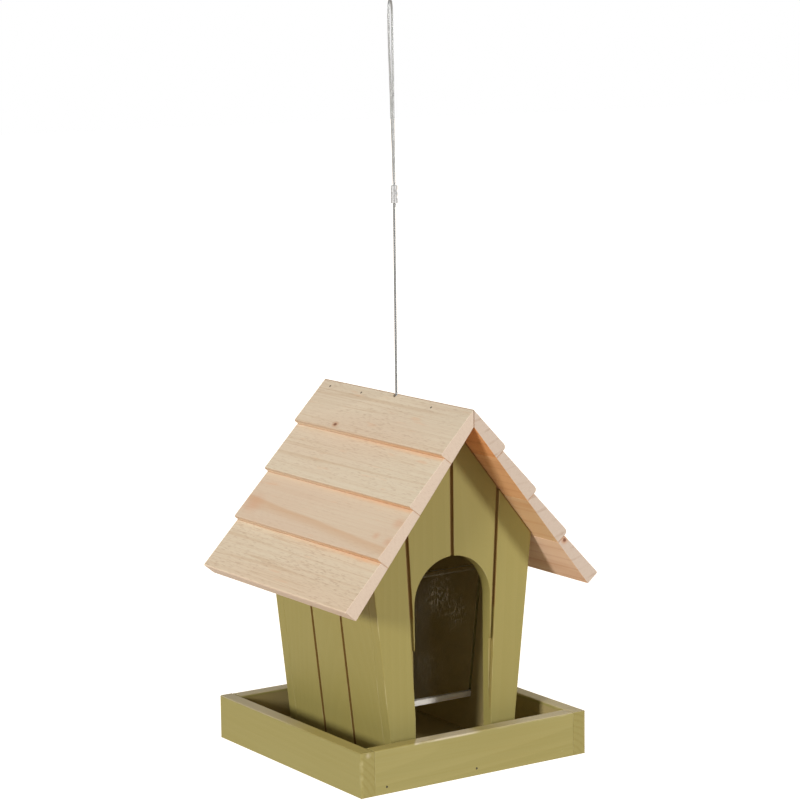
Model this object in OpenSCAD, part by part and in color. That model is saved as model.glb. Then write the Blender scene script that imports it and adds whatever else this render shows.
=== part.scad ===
// Hanging bird feeder. A small house with leaning walls stands in a square tray, and
// seed behind its clear pane runs out under the pane towards the arch in the front gable.
// The stepped roof slides up its hanging wire, so that the house can be filled.
// Millimetres. The origin is the middle of the tray's underside, and the arch faces -Y.

/* [Tray] */
// Width of the tray, side to side
tray_w = 170; // [150:1:200]
// Length of the tray, front to back
tray_l = 170; // [150:1:200]
// Height of the four rails
rail_h = 28; // [18:1:36]
// Thickness of the four rails
rail_t = 10; // [6:0.5:14]
// Thickness of the floor board between the rails
floor_t = 9; // [6:0.5:12]
// Radius of the sanded top edges of the rails
rail_edge_r = 1.2; // [0.4:0.1:2]

/* [House] */
// Outer width of the house where it stands on the floor board
foot_w = 91; // [80:1:100]
// Length of the house, front face to rear face
house_l = 121; // [105:1:128]
// Height of the gables' peak above the floor board
peak_h = 209; // [200:1:220]
// Thickness of the two gables
gable_t = 8.5; // [6:0.5:12]
// Thickness of the two side walls
wall_t = 8.5; // [6:0.5:12]
// Outward lean of the side walls, in degrees
wall_lean = 6.5; // [2:0.5:9]

/* [Arch] */
// Width of the arched opening
arch_w = 57; // [40:1:62]
// Height of the arched opening above the floor board
arch_h = 125.5; // [100:0.5:140]

/* [Plank grooves] */
// Width of the grooves
groove_w = 2.4; // [1.5:0.1:4]
// Depth of the grooves
groove_d = 2; // [1:0.1:3]
// Width of each of a gable's two middle planks, at the floor board
mid_plank_w = 25.8; // [22:0.1:32]
// Number of planks that the grooves divide a side wall into
side_planks = 3; // [2:1:5]

/* [Roof] */
// Length of the roof, front to back
roof_l = 170; // [150:1:200]
// Pitch of both slopes, in degrees
roof_pitch = 51.3; // [48:0.1:54]
// Length of a slope's underside, from the ridge to the eave
slope_l = 139; // [130:0.5:150]
// Width of the three lower boards of a slope, down the slope
course_w = 37.4; // [35:0.1:40]
// Thickness of a roof board at its upper edge
thin_t = 6.5; // [5:0.1:8]
// Thickness of a roof board at its lower edge, the step
butt_t = 10; // [8.5:0.1:12]
// Radius of the rounded nose of each step
nose_r = 1; // [0.5:0.1:2]
// Gap between the roof's underside and the house that it sits on
seat_gap = 0.2; // [0.1:0.05:0.5]
// Diameter of the hole through the ridge for the hanging wire
wire_hole_d = 4; // [3:0.1:6]

/* [Pane] */
// Thickness of the clear pane
pane_t = 2; // [1.5:0.1:3]
// Height of the pane
pane_h = 82; // [60:1:90]
// Distance from the inside of the front gable to the pane
pane_set = 30; // [20:1:45]
// Depth of the saw cuts in the side walls that hold the pane
kerf_d = 2.5; // [1.5:0.1:4]
// Clearance round the pane in its saw cuts
pane_clear = 0.2; // [0.1:0.05:0.4]
// Height of the gap under the pane that lets the seed out
seed_gap_h = 22; // [14:1:30]
// Height of the batten that the pane stands on
rest_h = 3.5; // [3:0.1:6]
// Width of the batten that the pane stands on
rest_w = 4; // [3:0.1:8]

/* [Hanger] */
// Width of the beam under the ridge that the wire carries
beam_w = 12; // [8:0.5:16]
// Height of the beam
beam_h = 15; // [10:0.5:20]
// Distance from the gables' peak down to the top of the beam
beam_drop = 13; // [11:0.5:20]
// Diameter of the wire
wire_d = 1.5; // [1:0.1:1.6]
// Clearance on the diameter of the beam's and the washer's holes round the wire
wire_clear = 1; // [0.4:0.1:2]
// Diameter of the washer under the beam
washer_d = 11; // [8:0.5:14]
// Thickness of the washer
washer_t = 1; // [0.6:0.1:2]
// Diameter of the crimped stop under the washer
stop_d = 4; // [3.5:0.1:6]
// Length of the crimped stop
stop_l = 8; // [6:0.5:10]
// Thickness of the crimped sleeve that closes the loop
sleeve_t = 4; // [3.2:0.1:5]
// Length of the crimped sleeve
sleeve_l = 11; // [8:0.5:14]
// Depth of the tool's dents in the sleeve
dent_d = 0.5; // [0.2:0.1:0.7]

/* [Brads] */
// Diameter of the brads
brad_d = 1.5; // [1.2:0.1:2]
// Length of the brads
brad_l = 18; // [14:0.5:20]
// How much smaller than the brads their holes are
brad_grip = 0.1; // [0:0.05:0.2]
// Distances of the ridge brads from the front end of the roof
ridge_brads_front = [41.5];
// Distances of the ridge brads from the rear end of the roof
ridge_brads_rear = [11.5, 49];
// Distance of the ridge brads from the ridge, across the roof
ridge_brad_in = 3.2; // [2.5:0.1:5]
// Distance of the outer brads in a rail from the corners of the tray
rail_brad_in = 18.5; // [15:0.5:30]

/* [Hidden] */
courses = 4;

// Cutters reach this far past the faces that they cut through, and a groove's runs right through
over = 1;
through = 3 * peak_h;
round_fn = 48;
corner_steps = 5;
paint = [0.60, 0.55, 0.33];
pine = [0.86, 0.77, 0.64];
steel = [0.62, 0.63, 0.61];
bright = [0.75, 0.76, 0.77];

// The house: heights, and half widths of the leaning side walls
peak_z = floor_t + peak_h;
foot_half = foot_w / 2;
wall_across = wall_t / cos(wall_lean);
wall_l = house_l - 2 * gable_t;
front_inside_y = gable_t - house_l / 2;
function outer_x(z) = foot_half + (z - floor_t) * tan(wall_lean);
function inner_x(z) = outer_x(z) - wall_across;
function roof_line_z(x) = peak_z - x * tan(roof_pitch);
function under_roof_x(foot) = (foot + peak_h * tan(wall_lean)) / (1 + tan(roof_pitch) * tan(wall_lean));
outer_top_x = under_roof_x(foot_half);
inner_top_x = under_roof_x(foot_half - wall_across);

// The pane and the batten under it
rest_z = floor_t + seed_gap_h;
pane_z = rest_z + rest_h + pane_clear;
pane_y = front_inside_y + pane_set + pane_t / 2;
kerf_w = pane_t + 2 * pane_clear;
pane_reach = (kerf_d - 2 * pane_clear) / cos(wall_lean);

// The roof: s runs down a slope's underside from the ridge, and t stands square to it
roof_peak_z = peak_z + seat_gap / cos(roof_pitch);
taper = (butt_t - thin_t) / course_w;
function course_foot(k) = slope_l - (courses - k) * course_w;
mitre_t = (butt_t - course_foot(1) * taper) / (1 + taper * tan(roof_pitch));
ridge_z = roof_peak_z + mitre_t / cos(roof_pitch);

// The hanger, from the beam down to the stop
beam_top_z = peak_z - beam_drop;
beam_z = beam_top_z - beam_h;
washer_z = beam_z - washer_t;
stop_z = washer_z - stop_l;
guide_d = wire_d + wire_clear;
crimp_d = wire_d + 0.06;

// The wire's route: up from the stop, through the sleeve, round the loop and back into the sleeve
wire_route = [
    [0, 0, 179], [0, 0, 192], [0, 0, 210], [0, 0, 230], [0, 0, 255], [0, 0, 280], [0, 0, 305],
    [0, 0, 328], [0, 0, 345], [0, 0, 356], [-0.1, -0.1, 363],
    [-0.6, -0.6, 371], [-1.2, -1.2, 381], [-2.2, -1.9, 399], [-3.2, -2.5, 423], [-4.3, -3.1, 448],
    [-4.6, -3.3, 460], [-4.5, -3.2, 468], [-3.4, -2.1, 473.3], [-0.9, 0.4, 475.5],
    [1.6, 2.9, 473.3], [2.7, 4.0, 468], [2.8, 4.1, 460], [2.7, 3.8, 448], [2.4, 3.2, 423],
    [2.0, 2.5, 399], [1.6, 1.9, 381], [1.4, 1.5, 371], [1.3, 1.3, 363], [1.2, 1.2, 356],
    [1.2, 1.2, 347]
];
ring_step = 6;
ring_sides = 8;
sleeve_z = 355;
sleeve_gap = 1.7;
sleeve_turn = 45;
dent_r = 1.5;
dent_at = [0.32, 0.68];
loop_normal = [1, -1, 0] / sqrt(2);

// The roof boards' top face follows this line
function board_top(k, s) = butt_t - (course_foot(k) - s) * taper;

// Points along a rounded corner, from one angle to another
function corner(centre, r, from, to) =
    [for (i = [0 : corner_steps]) let (a = from + (to - from) * i / corner_steps) centre + r * [cos(a), sin(a)]];

module eased_bar(w, h, r) {
    // Upright section, centred on x, with both top corners rounded
    polygon(concat(
        [[-w / 2, 0], [w / 2, 0]],
        corner([w / 2 - r, h - r], r, 0, 90),
        corner([r - w / 2, h - r], r, 90, 180)
    ));
}

module rail(length) {
    rotate([90, 0, 0])
        linear_extrude(length, center = true) eased_bar(rail_t, rail_h, rail_edge_r);
}

module brad(trim) {
    // Lies along +X from its head, which is flush with the wood
    translate([-trim, 0, 0]) rotate([0, 90, 0]) cylinder(d = brad_d - trim, h = brad_l + 2 * trim, $fn = 24);
}

module rail_brad_set(trim = 0) {
    // Three brads through the front rail into the floor board, and three through the rear rail
    for (end = [0, 180], x = [rail_brad_in - tray_w / 2, 0, tray_w / 2 - rail_brad_in])
        rotate(end) translate([x, -tray_l / 2, floor_t / 2]) rotate(90) brad(trim);
}

module floor_board() {
    color(paint) difference() {
        translate([rail_t - tray_w / 2, rail_t - tray_l / 2, 0])
            cube([tray_w - 2 * rail_t, tray_l - 2 * rail_t, floor_t]);
        rail_brad_set(brad_grip);
    }
}

module right_rail() {
    color(paint) translate([(tray_w - rail_t) / 2, 0, 0]) rail(tray_l);
}

module left_rail() {
    mirror([1, 0, 0]) right_rail();
}

module front_rail() {
    color(paint) difference() {
        translate([0, (rail_t - tray_l) / 2, 0]) rotate(90) rail(tray_w - 2 * rail_t);
        rail_brad_set(brad_grip);
    }
}

module rear_rail() {
    rotate(180) front_rail();
}

module rail_brads() {
    color(steel) rail_brad_set();
}

module gable_outline() {
    polygon([
        [-foot_half, floor_t], [foot_half, floor_t],
        [outer_top_x, roof_line_z(outer_top_x)], [0, peak_z], [-outer_top_x, roof_line_z(outer_top_x)]
    ]);
}

module arch_outline() {
    spring_z = floor_t + arch_h - arch_w / 2;
    translate([-arch_w / 2, floor_t - over]) square([arch_w, spring_z - floor_t + over]);
    translate([0, spring_z]) circle(d = arch_w, $fn = 96);
}

module gable_groove(x, lean) {
    translate([x, -house_l / 2, floor_t]) rotate([0, lean, 0])
        translate([0, 0, peak_h / 2]) cube([groove_w, 2 * groove_d, through], center = true);
}

module gable(has_arch) {
    // The front one. Its two outer grooves lean half as much as the side walls do
    color(paint) difference() {
        translate([0, front_inside_y, 0]) rotate([90, 0, 0]) linear_extrude(gable_t) difference() {
            gable_outline();
            if (has_arch) arch_outline();
        }
        gable_groove(0, 0);
        for (side = [0, 1]) mirror([side, 0, 0]) gable_groove(mid_plank_w, wall_lean / 2);
    }
}

module front_gable() {
    gable(true);
}

module rear_gable() {
    rotate(180) gable(false);
}

module wall_outline() {
    polygon([
        [inner_x(floor_t), floor_t], [foot_half, floor_t],
        [outer_top_x, roof_line_z(outer_top_x)], [inner_top_x, roof_line_z(inner_top_x)]
    ]);
}

module along_wall(x) {
    // Places a cutter on the leaning wall, with z running up it and x square to it
    translate([x, 0, floor_t]) rotate([0, wall_lean, 0]) children();
}

module right_wall() {
    plank_w = wall_l / side_planks;
    kerf_foot = (pane_z - floor_t) / cos(wall_lean) - over;
    color(paint) difference() {
        rotate([90, 0, 0]) linear_extrude(wall_l, center = true) wall_outline();
        along_wall(foot_half) for (k = [1 : side_planks - 1])
            translate([0, k * plank_w - wall_l / 2, peak_h / 2])
                cube([2 * groove_d, groove_w, through], center = true);
        along_wall(inner_x(floor_t))
            translate([-kerf_d, pane_y - kerf_w / 2, kerf_foot]) cube([2 * kerf_d, kerf_w, peak_h]);
    }
}

module left_wall() {
    mirror([1, 0, 0]) right_wall();
}

module between_walls(z, h, reach) {
    // Upright outline whose ends lie parallel to the leaning walls
    top = z + h;
    polygon([
        [-inner_x(z) - reach, z], [inner_x(z) + reach, z],
        [inner_x(top) + reach, top], [-inner_x(top) - reach, top]
    ]);
}

module seed_pane() {
    color([0.85, 0.88, 0.86, 0.35]) translate([0, pane_y, 0]) rotate([90, 0, 0])
        linear_extrude(pane_t, center = true) between_walls(pane_z, pane_h, pane_reach);
}

module pane_rest() {
    color(pine) translate([0, pane_y, 0]) rotate([90, 0, 0])
        linear_extrude(rest_w, center = true) between_walls(rest_z, rest_h, 0);
}

module hanger_beam() {
    color(pine) difference() {
        translate([-beam_w / 2, -wall_l / 2, beam_z]) cube([beam_w, wall_l, beam_h]);
        translate([0, 0, beam_z - over]) cylinder(d = guide_d, h = beam_h + 2 * over, $fn = 32);
    }
}

module ring(d, hole, z, h) {
    translate([0, 0, z]) difference() {
        cylinder(d = d, h = h, $fn = round_fn);
        translate([0, 0, -over]) cylinder(d = hole, h = h + 2 * over, $fn = 32);
    }
}

module beam_washer() {
    color(steel) ring(washer_d, guide_d, washer_z, washer_t);
}

module wire_stop() {
    color(bright) ring(stop_d, crimp_d, stop_z, stop_l);
}

module loop_sleeve() {
    // Oval sleeve over both legs of the loop, dented across its two flat sides by the crimping tool
    half_gap = sleeve_gap / 2;
    color(bright) rotate(sleeve_turn) translate([half_gap, 0, sleeve_z - sleeve_l / 2]) difference() {
        union() {
            for (side = [-1, 1])
                translate([side * half_gap, 0, 0]) cylinder(d = sleeve_t, h = sleeve_l, $fn = round_fn);
            translate([-half_gap, -sleeve_t / 2, 0]) cube([sleeve_gap, sleeve_t, sleeve_l]);
        }
        for (side = [-1, 1]) {
            translate([side * half_gap, 0, -over]) cylinder(d = crimp_d, h = sleeve_l + 2 * over, $fn = 24);
            for (z = dent_at * sleeve_l)
                translate([0, side * (sleeve_t / 2 - dent_d + dent_r), z]) rotate([0, 90, 0])
                    cylinder(r = dent_r, h = 3 * sleeve_t, center = true, $fn = 32);
        }
    }
}

// A smooth curve through the route's points, and the rings that are swept along it
function route_point(i) = wire_route[max(0, min(len(wire_route) - 1, i))];
function curve(a, b, c, d, u) =
    0.5 * (2 * b + (c - a) * u + (2 * a - 5 * b + 4 * c - d) * u ^ 2 + (3 * b - a - 3 * c + d) * u ^ 3);
wire_line = concat(
    [for (i = [0 : len(wire_route) - 2])
        let (a = route_point(i - 1), b = route_point(i), c = route_point(i + 1), d = route_point(i + 2))
        let (steps = ceil(norm(c - b) / ring_step))
        for (j = [0 : steps - 1]) curve(a, b, c, d, j / steps)],
    [route_point(len(wire_route) - 1)]
);
function unit(v) = v / norm(v);
function wire_ring(i) =
    let (last = len(wire_line) - 1)
    let (way = unit(wire_line[min(last, i + 1)] - wire_line[max(0, i - 1)]))
    let (side = unit(cross(way, loop_normal)), front = cross(side, way))
    [for (j = [0 : ring_sides - 1])
        let (turn = 360 * j / ring_sides)
        wire_line[i] + wire_d / 2 * (cos(turn) * side + sin(turn) * front)];

module hanging_wire() {
    rings = len(wire_line);
    last = (rings - 1) * ring_sides;
    color(steel) polyhedron(
        points = [for (i = [0 : rings - 1]) each wire_ring(i)],
        faces = concat(
            [[for (j = [0 : ring_sides - 1]) j]],
            [[for (j = [ring_sides - 1 : -1 : 0]) last + j]],
            [for (i = [0 : rings - 2], j = [0 : ring_sides - 1])
                let (a = i * ring_sides + j, b = i * ring_sides + (j + 1) % ring_sides)
                each [[a, a + ring_sides, b], [b, a + ring_sides, b + ring_sides]]]
        )
    );
}

module course_outline(k) {
    // Section of one roof board in s and t. The first is mitred at the ridge
    foot = course_foot(k);
    head = k == 1 ? 0 : course_foot(k - 1);
    head_top = k == 1 ? [-mitre_t * tan(roof_pitch), mitre_t] : [head, board_top(k, head)];
    nose = [foot - nose_r, butt_t - nose_r * (taper + sqrt(1 + taper ^ 2))];
    polygon(concat([[head, 0], [foot, 0]], corner(nose, nose_r, 0, 90 + atan(taper)), [head_top]));
}

module ridge_brad_set(trim = 0) {
    // Driven through the left slope into the right one, half way between level and upright
    ends = concat(
        [for (d = ridge_brads_front) d - roof_l / 2],
        [for (d = ridge_brads_rear) roof_l / 2 - d]
    );
    head_z = ridge_z - ridge_brad_in * tan(roof_pitch - atan(taper));
    for (y = ends) translate([-ridge_brad_in, y, head_z]) rotate([0, 45, 0]) brad(trim);
}

module slope_board(k) {
    // A board of the right slope
    translate([0, 0, roof_peak_z]) rotate([90, 0, 0])
        linear_extrude(roof_l, center = true) rotate(-roof_pitch) course_outline(k);
}

module ridge_cuts() {
    // The hole for the wire, half in each of the two top boards, and the holes for the brads
    hole_z = roof_peak_z - 2 * wire_hole_d;
    translate([0, 0, hole_z]) cylinder(d = wire_hole_d, h = ridge_z - hole_z + over, $fn = 32);
    ridge_brad_set(brad_grip);
}

module right_course(k) {
    color(pine) difference() {
        slope_board(k);
        if (k == 1) ridge_cuts();
    }
}

module left_course(k) {
    color(pine) difference() {
        mirror([1, 0, 0]) slope_board(k);
        if (k == 1) ridge_cuts();
    }
}

module ridge_brads() {
    color(steel) ridge_brad_set();
}

floor_board();
left_rail();
right_rail();
front_rail();
rear_rail();
rail_brads();
front_gable();
rear_gable();
left_wall();
right_wall();
seed_pane();
pane_rest();
hanger_beam();
beam_washer();
wire_stop();
hanging_wire();
loop_sleeve();
ridge_brads();
for (k = [1 : courses]) {
    left_course(k);
    right_course(k);
}
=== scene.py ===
# %% [markdown]
# A hanging bird feeder. A little house with leaning walls stands in a square tray. Its roof of
# stepped pine boards slides up the steel wire that carries it, and a clear pane behind the arch
# holds the seed back. Everything is in metres, with +Z up and the arch facing -Y.

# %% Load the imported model
import math

import bmesh
import bpy
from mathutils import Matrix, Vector


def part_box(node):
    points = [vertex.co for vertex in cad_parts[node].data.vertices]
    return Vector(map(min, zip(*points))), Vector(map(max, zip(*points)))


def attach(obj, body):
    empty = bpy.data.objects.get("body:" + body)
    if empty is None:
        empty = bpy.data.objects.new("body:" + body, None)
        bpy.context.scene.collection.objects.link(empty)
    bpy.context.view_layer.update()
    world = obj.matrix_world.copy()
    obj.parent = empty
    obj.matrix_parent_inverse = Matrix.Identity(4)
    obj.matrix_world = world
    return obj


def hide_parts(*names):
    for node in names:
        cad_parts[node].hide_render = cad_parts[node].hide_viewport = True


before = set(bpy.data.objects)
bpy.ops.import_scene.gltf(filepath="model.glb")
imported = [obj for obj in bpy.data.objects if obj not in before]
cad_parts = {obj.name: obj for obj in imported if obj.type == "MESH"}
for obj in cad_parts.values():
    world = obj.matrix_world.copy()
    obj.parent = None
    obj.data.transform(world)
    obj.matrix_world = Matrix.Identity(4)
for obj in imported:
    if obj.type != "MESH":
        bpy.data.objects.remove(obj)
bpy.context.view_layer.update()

# %% [markdown]
# The camera comes first, because every later choice is judged through it. Its place was worked out
# from the straight edges in the photograph: a long lens, a little above the ridge, to the left.

# %% Camera
sensor_width = 0.036
focal_pixels = 2681.0
picture_pixels = 800
camera_data = bpy.data.cameras.new("camera")
camera_data.sensor_width = sensor_width * 1000
camera_data.lens = focal_pixels / picture_pixels * camera_data.sensor_width
camera = bpy.data.objects.new("camera", camera_data)
camera.location = (-0.92522, -1.39836, 0.47771)
camera.rotation_euler = [math.radians(turn) for turn in (81.4248, 0.6768, -33.6697)]
bpy.context.scene.collection.objects.link(camera)
bpy.context.scene.camera = camera
bpy.context.scene.view_settings.view_transform = "Standard"
print("lens:", round(camera_data.lens, 2), "mm")

# %% [markdown]
# Both shader trees and geometry trees are sums of small steps. Writing each step as a node by hand
# hides the sum, so one small class wraps a socket and lets Python's own signs add the Math nodes.
# Every other kind of node comes from one function: its kind, its settings, then its sockets.

# %% Node trees as Python expressions
def feed(socket, value):
    """Link another socket to this one, or give it a constant."""
    if isinstance(value, Value):
        socket.id_data.links.new(value.socket, socket)
    else:
        socket.default_value = value


def add(tree, kind, settings, inputs, output=0):
    """Add a node to a tree, and return the output that is asked for."""
    node = tree.nodes.new(kind)
    for name, value in settings.items():
        setattr(node, name, value)
    for name, value in inputs.items():
        feed(node.inputs[name], value)
    return Value(node.outputs[output])


class Value:
    """A socket whose arithmetic adds Math nodes to its tree."""

    def __init__(self, socket):
        self.socket = socket

    def node(self, kind, settings, inputs, output=0):
        return add(self.socket.id_data, kind, settings, inputs, output)

    def maths(self, operation, *others):
        inputs = dict(enumerate((self, *others)))
        return self.node("ShaderNodeMath", {"operation": operation}, inputs)

    def __add__(self, other):
        return self.maths("ADD", other)

    def __sub__(self, other):
        return self.maths("SUBTRACT", other)

    def __rsub__(self, other):
        return self.node("ShaderNodeMath", {"operation": "SUBTRACT"}, {0: other, 1: self})

    def __mul__(self, other):
        return self.maths("MULTIPLY", other)

    def __truediv__(self, other):
        return self.maths("DIVIDE", other)

    def __abs__(self):
        return self.maths("ABSOLUTE")

    __radd__ = __add__
    __rmul__ = __mul__

    def rise(self, low, high):
        """0 below low and 1 above high, with a smooth climb between. It falls where low is the higher."""
        inputs = {"Value": self, "From Min": low, "From Max": high}
        return self.node("ShaderNodeMapRange", {"interpolation_type": "SMOOTHSTEP"}, inputs)

    def parts(self):
        """The three numbers of a vector."""
        kind = "ShaderNodeSeparateXYZ"
        return [self.node(kind, {}, {0: self}, axis) for axis in range(3)]

    def stretched(self, *times):
        """The vector times one number for each axis."""
        return self.node("ShaderNodeVectorMath", {"operation": "MULTIPLY"}, {0: self, 1: times})

    def distance(self, spot, *times):
        """How far this vector lies from a spot, with each axis stretched by its own number."""
        away = self.node("ShaderNodeVectorMath", {"operation": "SUBTRACT"}, {0: self, 1: spot})
        away = away.stretched(*times)
        return away.node("ShaderNodeVectorMath", {"operation": "LENGTH"}, {0: away}, 1)

    def noise(self, *per_metre, detail=3.0, seed=0.0):
        """Soft noise with this many lumps a metre along each axis, from about 0 to 1."""
        inputs = {"Vector": self.stretched(*per_metre), "W": seed, "Scale": 1.0, "Detail": detail}
        return self.node("ShaderNodeTexNoise", {"noise_dimensions": "4D"}, inputs)

    def toward(self, colour_a, colour_b):
        """A colour that goes from colour_a to colour_b as this value goes from 0 to 1."""
        inputs = {0: self, 6: colour_a, 7: colour_b}
        return self.node("ShaderNodeMix", {"data_type": "RGBA"}, inputs, 2)


def colour(red, green, blue):
    """A screen colour, 0 to 255, as the linear colour that a shader takes."""
    return (*[((c / 255 + 0.055) / 1.055) ** 2.4 if c > 10 else c / 3294 for c in (red, green, blue)], 1)


# %% [markdown]
# A material starts as a Principled shader with its constants set on its own sockets. What changes
# over the surface is linked later, so a finish reads as one function with its sums in the middle.

# %% Start and finish a material
def start_material(name, **constants):
    """A new material, and its Principled shader with these constants."""
    material = bpy.data.materials.new(name)
    material.use_nodes = True
    shader = material.node_tree.nodes["Principled BSDF"]
    for socket, value in constants.items():
        shader.inputs[socket.replace("_", " ")].default_value = value
    return material, shader


def read(tree, output, turn=(0, 0, 0), shift=(0, 0, 0)):
    """Texture Coordinate's Object or Normal output, turned and then moved."""
    source = add(tree, "ShaderNodeTexCoord", {}, {}, output)
    turns = tuple(math.radians(angle) for angle in turn)
    return source.node("ShaderNodeMapping", {}, {"Vector": source, "Rotation": turns, "Location": shift})


def raise_surface(shader, height, depth, strength=1.0):
    """Let height, from 0 to 1, stand up to depth metres proud of the surface."""
    inputs = {"Height": height, "Distance": depth, "Strength": strength}
    feed(shader.inputs["Normal"], height.node("ShaderNodeBump", {}, inputs))


# %% [markdown]
# The wire is a thin steel rope: six strands laid round a core. It could be six swept tubes, but at
# 1.5 mm one tube with a six-lobed section, which turns as it goes, looks the same with a tenth of
# the faces. Geometry Nodes tilt the curve and sweep the section, and the part's own route carries it.

# %% Finish of the wire
sleeve_foot = 0.34
sleeve_top = 0.36


def strand_steel(name, bright, plain_steel):
    """Steel strands, painted lighter above the sleeve as a highlight, and dark in the grooves as painted
    shade. The lay attribute is 1 on a strand and 0 in a groove.
    """
    material, shader = start_material(name, Metallic=1.0)
    tree = material.node_tree
    lay = add(tree, "ShaderNodeAttribute", {"attribute_name": "lay"}, {}, "Fac")
    place = read(tree, "Object")
    smear = place.noise(900, 900, 160, seed=3.0)
    # Painted highlight: the steel is lighter above the sleeve, for the glints on the loop.
    strand = place.parts()[2].rise(sleeve_top, sleeve_foot).toward(bright, plain_steel)
    # Painted shade: near black where lay is 0, in the grooves between the strands.
    crown = lay.rise(0.1, 0.9) * (smear * 0.5 + 0.75)
    feed(shader.inputs["Base Color"], crown.toward(colour(44, 45, 46), strand))
    feed(shader.inputs["Roughness"], smear * 0.2 + 0.28)
    return material


wire_finish = strand_steel("wire_steel", colour(174, 175, 174), colour(134, 136, 136))

# %% The wire's route, as in the part's source
wire_route = [
    (0, 0, 179), (0, 0, 192), (0, 0, 210), (0, 0, 230), (0, 0, 255), (0, 0, 280), (0, 0, 305),
    (0, 0, 328), (0, 0, 345), (0, 0, 356), (-0.1, -0.1, 363),
    (-0.6, -0.6, 371), (-1.2, -1.2, 381), (-2.2, -1.9, 399), (-3.2, -2.5, 423), (-4.3, -3.1, 448),
    (-4.6, -3.3, 460), (-4.5, -3.2, 468), (-3.4, -2.1, 473.3), (-0.9, 0.4, 475.5),
    (1.6, 2.9, 473.3), (2.7, 4.0, 468), (2.8, 4.1, 460), (2.7, 3.8, 448), (2.4, 3.2, 423),
    (2.0, 2.5, 399), (1.6, 1.9, 381), (1.4, 1.5, 371), (1.3, 1.3, 363), (1.2, 1.2, 356),
    (1.2, 1.2, 347),
]
millimetre = 0.001
wire_step = 0.0008


def smooth_line(points, step):
    """Points about step apart on a Catmull-Rom curve through the given ones."""
    ends = [points[0], *points, points[-1]]
    line = []
    for a, b, c, d in zip(ends, ends[1:], ends[2:], ends[3:]):
        steps = math.ceil((c - b).length / step)
        for u in (i / steps for i in range(steps)):
            bend = (2 * a - 5 * b + 4 * c - d) * u**2 + (3 * b - a - 3 * c + d) * u**3
            line.append(0.5 * (2 * b + (c - a) * u + bend))
    return [*line, points[-1]]


wire_line = smooth_line([Vector(point) * millimetre for point in wire_route], wire_step)
wire_length = sum((b - a).length for a, b in zip(wire_line, wire_line[1:]))
print("wire:", len(wire_line), "points,", round(wire_length, 4), "m")

# %% Geometry trees with named inputs
SOCKET_KINDS = {float: "NodeSocketFloat", int: "NodeSocketInt", str: "NodeSocketMaterial"}


def start_shape(name, **inputs):
    """A new geometry tree with these inputs and their usual values, and the inputs as Values."""
    tree = bpy.data.node_groups.new(name, "GeometryNodeTree")
    tree.interface.new_socket("Geometry", in_out="OUTPUT", socket_type="NodeSocketGeometry")
    tree.interface.new_socket("Geometry", in_out="INPUT", socket_type="NodeSocketGeometry")
    for label, value in inputs.items():
        kind = SOCKET_KINDS[type(value)]
        socket = tree.interface.new_socket(label.replace("_", " "), in_out="INPUT", socket_type=kind)
        if not isinstance(value, str):
            socket.default_value = value
    group = tree.nodes.new("NodeGroupInput")
    return tree, {socket.name: Value(socket) for socket in group.outputs if socket.name}


def end_shape(geometry, material, smooth=False):
    """Close a tree: real geometry, its shading and its material."""
    real = geometry.node("GeometryNodeRealizeInstances", {}, {0: geometry})
    shaded = real.node("GeometryNodeSetShadeSmooth", {}, {"Geometry": real, "Shade Smooth": smooth})
    done = real.node("GeometryNodeSetMaterial", {}, {"Geometry": shaded, "Material": material})
    output = geometry.socket.id_data.nodes.new("NodeGroupOutput")
    feed(output.inputs[0], done)


def make_real(piece):
    """Turn a piece with modifiers into a plain mesh."""
    bpy.context.view_layer.update()
    seen = piece.evaluated_get(bpy.context.evaluated_depsgraph_get())
    mesh = bpy.data.meshes.new_from_object(seen)
    mesh.name = piece.name
    piece.modifiers.clear()
    piece.data = mesh
    return piece


def new_piece(name, mesh):
    """An object at the origin with this mesh."""
    piece = bpy.data.objects.new(name, mesh)
    bpy.context.scene.collection.objects.link(piece)
    return piece


def run_shape(tree, name, mesh, **values):
    """Run a tree on a mesh, with its inputs set by the identifiers of their sockets."""
    piece = new_piece(name, mesh)
    modifier = piece.modifiers.new(tree.name, "NODES")
    modifier.node_group = tree
    for item in tree.interface.items_tree:
        label = item.name.replace(" ", "_")
        if item.in_out == "INPUT" and label in values:
            modifier[item.identifier] = values[label]
    return piece


# %% Sweep the strands along the route
def strand_tree():
    """A section with one lobe for each strand, swept along a line and turned as it goes."""
    tree, size = start_shape(
        "Laid strands", Diameter=0.0015, Strands=6, Lay_length=0.009, Points_a_strand=4,
        Groove=0.2, Material="",
    )
    line = size["Geometry"].node("GeometryNodeMeshToCurve", {}, {"Mesh": size["Geometry"]})
    along = line.node("GeometryNodeSplineParameter", {}, {}, "Length")
    turn = along / size["Lay length"] * math.tau
    laid = line.node("GeometryNodeSetCurveTilt", {}, {"Curve": line, "Tilt": turn})
    sides = size["Strands"] * size["Points a strand"]
    circle = {"Resolution": sides, "Radius": size["Diameter"] / 2}
    section = line.node("GeometryNodeCurvePrimitiveCircle", {}, circle)
    index = line.node("GeometryNodeInputIndex", {}, {})
    angle = index / size["Points a strand"] * math.pi
    crown = abs(angle.maths("SINE"))
    position = line.node("GeometryNodeInputPosition", {}, {})
    shrink = 1 - size["Groove"] * (1 - crown)
    moved = position.node("ShaderNodeVectorMath", {"operation": "SCALE"}, {0: position, "Scale": shrink})
    lobed = line.node("GeometryNodeSetPosition", {}, {"Geometry": section, "Position": moved})
    marked = line.node(
        "GeometryNodeStoreNamedAttribute", {"data_type": "FLOAT"},
        {"Geometry": lobed, "Name": "lay", "Value": crown},
    )
    swept = line.node(
        "GeometryNodeCurveToMesh", {}, {"Curve": laid, "Profile Curve": marked, "Fill Caps": True}
    )
    end_shape(swept, size["Material"], smooth=True)
    return tree


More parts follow.
